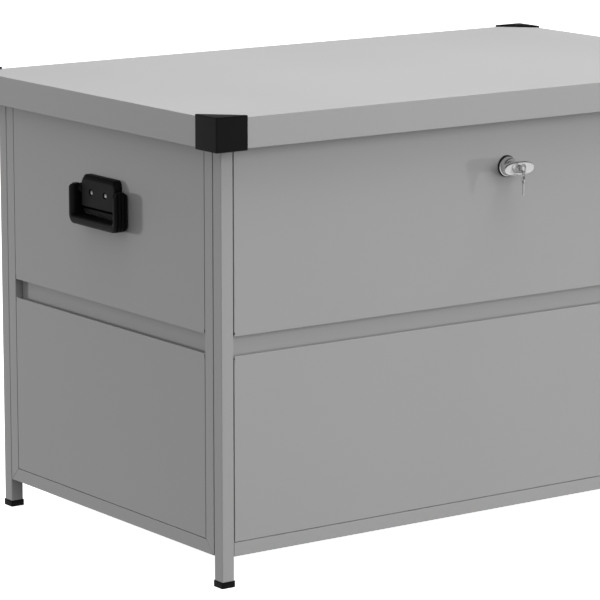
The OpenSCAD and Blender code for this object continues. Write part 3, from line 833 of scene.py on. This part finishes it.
def hinges():
    places = hinge_places()
    leaves = joined(*[moved(body_leaf(), p) for p in places])
    piece("hinge_body_leaves", leaves, ROW, "box", ZINC, ["hinge_leaves_body"], bevel=0.3)
    leaves = joined(*[moved(lid_leaf(), p) for p in places])
    piece("hinge_lid_leaves", leaves, ROW, "lid", ZINC, ["hinge_leaves_lid"], bevel=0.3)
    pin = [(1.6, -36.0), (2.7, -35.6), (3.0, -35.0), (3.0, 35.0), (2.7, 35.6), (1.6, 36.0)]
    pins = [moved(turned(lathe(pin, 32), 90, "Y"), p) for p in places]
    piece("hinge_pin_rods", joined(*pins), ROW, "box", ZINC, ["hinge_pins"])
    heads = []
    for p in places:
        for s in (-1, 1):
            for z in (-38, -20):
                head = turned(pan_screw(4.2, 1.8), -90, "X")
                heads.append(moved(head, p @ Matrix.Translation((s * 70 / 3, -7.5, z))))
    piece("hinge_screw_heads", joined(*heads), ROW, "box", ZINC, ["hinge_screws"], smooth=32)


hinges()


# ---- seal and gas struts ---------------------------------------------------------------------


def rim_seal():
    """A bulb seal glued on the rim, mitred at its corners."""
    low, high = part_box("rim_seal")
    half_x, half_y = mm(high.x) - 4, mm(high.y - low.y) / 2 - 4
    bulb = [(-4.0, 0.0), (-4.0, 0.9), (-2.9, 1.1), *arc(0, 1.7, 2.7, 180, 0, 12)]
    bulb += [(2.9, 1.1), (4.0, 0.9), (4.0, 0.0)]
    rings = []
    for sx, sy in ((-1, -1), (1, -1), (1, 1), (-1, 1)):
        base = Vector((sx * half_x, mm(MIDDLE_Y) + sy * half_y, mm(low.z)))
        rings.append([base + Vector((sx * x, sy * x, z)) for x, z in bulb])
    piece("rim_seal_bulb", loft(rings, closed=True), ROW, "box", RUBBER, ["rim_seal"])


def eye(length, radius, thick, hole):
    """A flat strut end: eye at the origin, its shank running up z to length."""
    outline = [*arc(0, 0, radius, 140, 400, 28), (6.0, length - 1), (5.2, length)]
    outline += [(-5.2, length), (-6.0, length - 1)]
    plate = along_x([(y, z) for y, z in outline], -thick / 2, thick / 2)
    return cut(plate, turned(lathe([(hole, -20), (hole, 20)], 32), 90, "Y"))


TUBE_EYE_R = 8
ROD_EYE_R = 7


def struts():
    for side in ("left", "right"):
        tube_low, tube_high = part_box(f"strut_cylinder_{side}")
        rod_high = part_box(f"strut_rod_{side}")[1]
        x = mm(tube_low.x + tube_high.x) / 2
        y = mm(tube_low.y + tube_high.y) / 2
        foot_z = mm(tube_low.z) + TUBE_EYE_R
        head_z = mm(rod_high.z) - ROD_EYE_R
        tube_len = mm(tube_high.z) - foot_z
        reach = head_z - foot_z
        place = ROW @ Matrix.Translation((x, y, foot_z))
        profile = [(6.0, 12.0), (8.4, 12.0), (9.0, 12.8), (9.0, tube_len - 9), (8.6, tube_len - 8.4),
                   (8.6, tube_len - 7.4), (9.0, tube_len - 6.8), (9.0, tube_len - 2.2), (8.2, tube_len - 0.6),
                   (6.6, tube_len), (4.06, tube_len), (4.06, tube_len - 6), (7.9, tube_len - 6), (7.9, 18.0),
                   (1.0, 18.0)]
        tube = lathe(profile, 48)
        piece(f"strut_tube_{side}", joined(tube, eye(13, TUBE_EYE_R, 10, 4.06)), place, f"{side}_strut_tube",
              STRUT_PAINT, [f"strut_cylinder_{side}"], smooth=32)
        rod = lathe([(7.8, 20.0), (7.8, 26.0), (4.0, 26.0), (4.0, reach - 13.0)], 32)
        piece(f"strut_rod_shaft_{side}", rod, place, f"{side}_strut_rod", ROD,
              [f"strut_rod_{side}"], smooth=32)
        head = moved(eye(14, ROD_EYE_R, 10, 0.6), Matrix.Rotation(radians(180), 4, "X"))
        piece(f"strut_rod_end_{side}", shifted(head, 0, 0, reach), place, f"{side}_strut_rod",
              STRUT_PAINT, [f"strut_rod_{side}"], bevel=0.5)


def bracket_plate(w, h, r, thick):
    return prism(rounded_rect(w, h, r, 5), 0, thick, 0.4, 2)


def strut_brackets():
    body_low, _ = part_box("strut_brackets_body")
    foot_y = mm(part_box("strut_cylinder_left")[0].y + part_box("strut_cylinder_left")[1].y) / 2
    foot_z = mm(body_low.z) + 20
    edge_x = mm(body_low.x)
    parts = []
    for sign in (1, -1):
        plate = turned(bracket_plate(40, 30, 4, 2.5), 90, "Y")
        pin = turned(lathe([(6.0, 2.3), (5.2, 3.0), (4.0, 3.6), (4.0, 35.6), (3.4, 36.5)], 32), 90, "Y")
        holder = joined(plate, pin)
        mirror = Matrix.Diagonal((sign, 1, 1, 1))
        parts.append(moved(holder, mirror @ Matrix.Translation((edge_x, foot_y, foot_z))))
    piece("strut_feet", joined(*parts), ROW, "box", ZINC, ["strut_brackets_body"], smooth=32)


rim_seal()
struts()
strut_brackets()
dress(["strut_brackets_lid"], ZINC, 0.3)


# ---- stage, light and camera --------------------------------------------------------------------


def floor():
    """A plain pale floor that hides its shadows. Its bounce and its reflection come from the surroundings."""
    g = Graph("studio_floor")
    tone = g.noise(0.7, 2)
    g.shader.inputs["Emission Color"].default_value = (1, 1, 1, 1)
    material = g.finish(g.mix(g.ramp(tone, 0, 1), grey(0.86), grey(0.88)), emission_strength=FLOOR_GLOW,
                        specular_ior_level=0.0)
    g.shader.inputs["Roughness"].default_value = 0.9
    bm = bmesh.new()
    bmesh.ops.create_grid(bm, x_segments=8, y_segments=8, size=14)
    made = object_from(bm, "studio_floor")
    made.data.materials.append(material)
    made.visible_diffuse = False
    made.visible_glossy = False


def surroundings():
    """White to the camera, a soft sky to matt surfaces, and a pale floor and walls to glossy ones."""
    world = bpy.data.worlds.new("studio")
    bpy.context.scene.world = world
    world.use_nodes = True
    tree = world.node_tree
    tree.nodes.clear()

    def background(strength):
        node = tree.nodes.new("ShaderNodeBackground")
        node.inputs["Color"].default_value = (1, 1, 1, 1)
        node.inputs["Strength"].default_value = strength
        return node

    def choose(test, first, second):
        node = tree.nodes.new("ShaderNodeMixShader")
        tree.links.new(test, node.inputs["Fac"])
        tree.links.new(first.outputs[0], node.inputs[1])
        tree.links.new(second.outputs[0], node.inputs[2])
        return node

    path = tree.nodes.new("ShaderNodeLightPath")
    direction = tree.nodes.new("ShaderNodeSeparateXYZ")
    tree.links.new(tree.nodes.new("ShaderNodeTexCoord").outputs["Generated"], direction.inputs["Vector"])

    def by_height(start, end, low, high):
        """A background whose strength goes from low to high as the direction rises from start to end."""
        node = tree.nodes.new("ShaderNodeMapRange")
        for key, value in (("From Min", start), ("From Max", end), ("To Min", low), ("To Max", high)):
            node.inputs[key].default_value = value
        tree.links.new(direction.outputs["Z"], node.inputs["Value"])
        made = background(1.0)
        tree.links.new(node.outputs["Result"], made.inputs["Strength"])
        return made

    matt = by_height(-0.05, 0.05, FLOOR_BOUNCE, SKY)
    above = tree.nodes.new("ShaderNodeMath")
    above.operation = "GREATER_THAN"
    above.inputs[1].default_value = 0.0
    tree.links.new(direction.outputs["Z"], above.inputs[0])
    walls = by_height(0.30, 0.55, WALL_GLOSS, CEILING_GLOSS)
    gloss = choose(above.outputs[0], background(FLOOR_GLOSS), walls)
    light = choose(path.outputs["Is Glossy Ray"], matt, gloss)
    seen = choose(path.outputs["Is Camera Ray"], light, background(1.0))
    output = tree.nodes.new("ShaderNodeOutputWorld")
    tree.links.new(seen.outputs[0], output.inputs["Surface"])


def softbox(name, place, size, power):
    """A square lamp that looks at the middle of the box. Gloss shows the studio's walls in its place."""
    data = bpy.data.lights.new(name, "AREA")
    data.shape = "SQUARE"
    data.size = size
    data.energy = power
    lamp = bpy.data.objects.new(name, data)
    bpy.context.scene.collection.objects.link(lamp)
    lamp.location = place
    aim = Vector((0, MIDDLE_Y, 0.4)) - Vector(place)
    lamp.rotation_euler = aim.to_track_quat("-Z", "Y").to_euler()
    lamp.visible_glossy = False


def camera():
    data = bpy.data.cameras.new("camera")
    data.sensor_width = 36
    data.lens = 208.94
    made = bpy.data.objects.new("camera", data)
    bpy.context.scene.collection.objects.link(made)
    made.location = (-3.3012, -4.38175, 1.3892)
    made.rotation_euler = Vector((0.570830, 0.798685, -0.190415)).to_track_quat("-Z", "Y").to_euler()
    bpy.context.scene.camera = made


SKY = 0.56
FLOOR_BOUNCE = 0.02
FLOOR_GLOW = 1.0
FLOOR_GLOSS = 0.85
WALL_GLOSS = 0.4
CEILING_GLOSS = 0.03
floor()
surroundings()
softbox("top_light", (0.3, -0.4, 4.2), 3.2, 135)
softbox("key_left_rear", (-5.3, 7.4, 0.45), 0.7, 270)
softbox("fill_front_right", (3.9, -2.85, 0.2), 0.3, 43)
softbox("front_soft", (0.6, -5.0, 1.7), 3.6, 92)
camera()
bpy.context.scene.view_settings.view_transform = "Standard"
